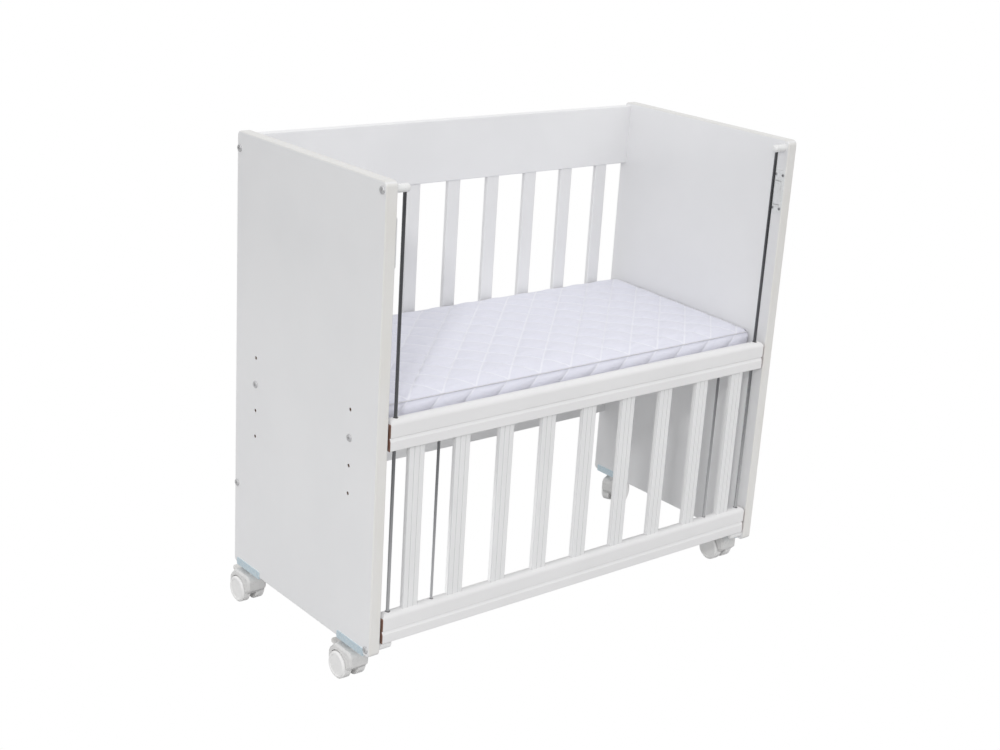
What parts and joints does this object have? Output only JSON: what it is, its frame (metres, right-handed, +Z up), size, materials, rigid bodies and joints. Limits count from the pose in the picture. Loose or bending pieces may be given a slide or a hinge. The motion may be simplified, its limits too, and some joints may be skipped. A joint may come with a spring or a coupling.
{
  "type": "bedside sleeper crib",
  "caption": "Small white crib on swivel casters, with solid end panels, a fixed slatted rear side, a slatted drop side on guide rods and a mattress at bed height.",
  "frame": {"origin": "on the floor, under the middle of the crib between its end panels", "axes": "+X along the crib towards the right end panel, +Y from the drop side to the fixed rear side, +Z up"},
  "size_m": [1.0079, 0.4692, 0.895],
  "materials": {
    "panel_lacquer": "satin white lacquer on board",
    "board_lacquer": "satin white lacquer on board",
    "rail_lacquer": "satin white lacquer on solid wood",
    "slat_lacquer": "satin white lacquer on solid wood",
    "bush_plastic": "grey moulded bush",
    "rod_steel": "bright zinc-plated rod",
    "bracket_plastic": "white moulded plastic",
    "bolt_steel": "zinc-plated head",
    "fitting_steel": "zinc-plated",
    "dowel_wood": "bare beech",
    "base_lacquer": "white lacquer on solid wood",
    "base_laminate": "white laminated board",
    "mattress_cover": "white quilted cover with a grey edge",
    "latch_plastic": "white moulded plastic",
    "dark_steel": "dark screw head",
    "saddle_zinc": "bluish zinc-plated sheet",
    "stem_steel": "steel",
    "hood_plastic": "white moulded plastic",
    "brake_plastic": "white moulded plastic",
    "wheel_plastic": "white hard plastic"
  },
  "bodies": {
    "frame": {"barrel_nuts": "fitting_steel", "base_battens": "base_lacquer", "base_board": "base_laminate", "base_bolts": "bolt_steel", "base_end_rail_left": "base_lacquer", "base_end_rail_right": "base_lacquer", "base_long_rails": "base_lacquer", "base_screws": "fitting_steel", "caster_saddle_front_left": "saddle_zinc", "caster_saddle_front_right": "saddle_zinc", "caster_saddle_rear_left": "saddle_zinc", "caster_saddle_rear_right": "saddle_zinc", "end_panel_left": "panel_lacquer", "end_panel_right": "panel_lacquer", "guide_rods": "rod_steel", "insert_nuts": "fitting_steel", "latch_plate_left": "latch_plastic", "latch_plate_right": "latch_plastic", "latch_screws": "dark_steel", "mattress": "mattress_cover", "rail_bolts": "bolt_steel", "rail_dowels": "dowel_wood", "rear_bottom_board": "board_lacquer", "rear_slats": "slat_lacquer", "rear_top_board": "board_lacquer", "rod_bracket_bolts": "bolt_steel", "rod_brackets": "bracket_plastic", "saddle_screws": "fitting_steel"},
    "drop_side": {"drop_bottom_rail": "rail_lacquer", "drop_slats": "slat_lacquer", "drop_top_rail": "rail_lacquer", "guide_bushes": "bush_plastic", "tie_rods": "rod_steel"},
    "latch_left": {"latch_tongue_left": "latch_plastic"},
    "latch_right": {"latch_tongue_right": "latch_plastic"},
    "caster_front_left": {"caster_stem_front_left": "stem_steel", "caster_hood_front_left": "hood_plastic", "wheel_axle_front_left": "stem_steel"},
    "brake_front_left": {"brake_lever_front_left": "brake_plastic"},
    "wheel_left_front_left": {"wheel_left_front_left": "wheel_plastic"},
    "wheel_right_front_left": {"wheel_right_front_left": "wheel_plastic"},
    "caster_front_right": {"caster_stem_front_right": "stem_steel", "caster_hood_front_right": "hood_plastic", "wheel_axle_front_right": "stem_steel"},
    "brake_front_right": {"brake_lever_front_right": "brake_plastic"},
    "wheel_left_front_right": {"wheel_left_front_right": "wheel_plastic"},
    "wheel_right_front_right": {"wheel_right_front_right": "wheel_plastic"},
    "caster_rear_left": {"caster_stem_rear_left": "stem_steel", "caster_hood_rear_left": "hood_plastic", "wheel_axle_rear_left": "stem_steel"},
    "brake_rear_left": {"brake_lever_rear_left": "brake_plastic"},
    "wheel_left_rear_left": {"wheel_left_rear_left": "wheel_plastic"},
    "wheel_right_rear_left": {"wheel_right_rear_left": "wheel_plastic"},
    "caster_rear_right": {"caster_stem_rear_right": "stem_steel", "caster_hood_rear_right": "hood_plastic", "wheel_axle_rear_right": "stem_steel"},
    "brake_rear_right": {"brake_lever_rear_right": "brake_plastic"},
    "wheel_left_rear_right": {"wheel_left_rear_right": "wheel_plastic"},
    "wheel_right_rear_right": {"wheel_right_rear_right": "wheel_plastic"}
  },
  "joints": [
    {"name": "drop_side_slide", "type": "slide", "parent": "frame", "child": "drop_side", "axis": [0, 0, 1], "range_m": [0, 0.375]},
    {"name": "latch_left_pivot", "type": "hinge", "parent": "frame", "child": "latch_left", "pos_m": [-0.44855, -0.2137, 0.772], "axis": [0, 1, 0], "range_deg": [0, 12]},
    {"name": "latch_right_pivot", "type": "hinge", "parent": "frame", "child": "latch_right", "pos_m": [0.44855, -0.2137, 0.772], "axis": [0, -1, 0], "range_deg": [0, 12]},
    {"name": "swivel_front_left", "type": "hinge", "parent": "frame", "child": "caster_front_left", "pos_m": [-0.461, -0.169, 0.08], "axis": [0, 0, 1], "continuous": true},
    {"name": "brake_front_left_press", "type": "hinge", "parent": "caster_front_left", "child": "brake_front_left", "pos_m": [-0.461, -0.1265, 0.0465], "axis": [-1, 0, 0], "range_deg": [0, 18]},
    {"name": "wheel_left_front_left_spin", "type": "hinge", "parent": "caster_front_left", "child": "wheel_left_front_left", "pos_m": [-0.461, -0.147, 0.025], "axis": [1, 0, 0], "continuous": true},
    {"name": "wheel_right_front_left_spin", "type": "hinge", "parent": "caster_front_left", "child": "wheel_right_front_left", "pos_m": [-0.461, -0.147, 0.025], "axis": [1, 0, 0], "continuous": true},
    {"name": "swivel_front_right", "type": "hinge", "parent": "frame", "child": "caster_front_right", "pos_m": [0.461, -0.169, 0.08], "axis": [0, 0, 1], "continuous": true},
    {"name": "brake_front_right_press", "type": "hinge", "parent": "caster_front_right", "child": "brake_front_right", "pos_m": [0.461, -0.1265, 0.0465], "axis": [-1, 0, 0], "range_deg": [0, 18]},
    {"name": "wheel_left_front_right_spin", "type": "hinge", "parent": "caster_front_right", "child": "wheel_left_front_right", "pos_m": [0.461, -0.147, 0.025], "axis": [1, 0, 0], "continuous": true},
    {"name": "wheel_right_front_right_spin", "type": "hinge", "parent": "caster_front_right", "child": "wheel_right_front_right", "pos_m": [0.461, -0.147, 0.025], "axis": [1, 0, 0], "continuous": true},
    {"name": "swivel_rear_left", "type": "hinge", "parent": "frame", "child": "caster_rear_left", "pos_m": [-0.461, 0.1752, 0.08], "axis": [0, 0, 1], "continuous": true},
    {"name": "brake_rear_left_press", "type": "hinge", "parent": "caster_rear_left", "child": "brake_rear_left", "pos_m": [-0.461, 0.2177, 0.0465], "axis": [-1, 0, 0], "range_deg": [0, 18]},
    {"name": "wheel_left_rear_left_spin", "type": "hinge", "parent": "caster_rear_left", "child": "wheel_left_rear_left", "pos_m": [-0.461, 0.1972, 0.025], "axis": [1, 0, 0], "continuous": true},
    {"name": "wheel_right_rear_left_spin", "type": "hinge", "parent": "caster_rear_left", "child": "wheel_right_rear_left", "pos_m": [-0.461, 0.1972, 0.025], "axis": [1, 0, 0], "continuous": true},
    {"name": "swivel_rear_right", "type": "hinge", "parent": "frame", "child": "caster_rear_right", "pos_m": [0.461, 0.1752, 0.08], "axis": [0, 0, 1], "continuous": true},
    {"name": "brake_rear_right_press", "type": "hinge", "parent": "caster_rear_right", "child": "brake_rear_right", "pos_m": [0.49952, 0.19316, 0.0465], "axis": [-0.4226, 0.9063, 0], "range_deg": [0, 18]},
    {"name": "wheel_left_rear_right_spin", "type": "hinge", "parent": "caster_rear_right", "child": "wheel_left_rear_right", "pos_m": [0.48094, 0.1845, 0.025], "axis": [0.4226, -0.9063, 0], "continuous": true},
    {"name": "wheel_right_rear_right_spin", "type": "hinge", "parent": "caster_rear_right", "child": "wheel_right_rear_right", "pos_m": [0.48094, 0.1845, 0.025], "axis": [0.4226, -0.9063, 0], "continuous": true}
  ]
}
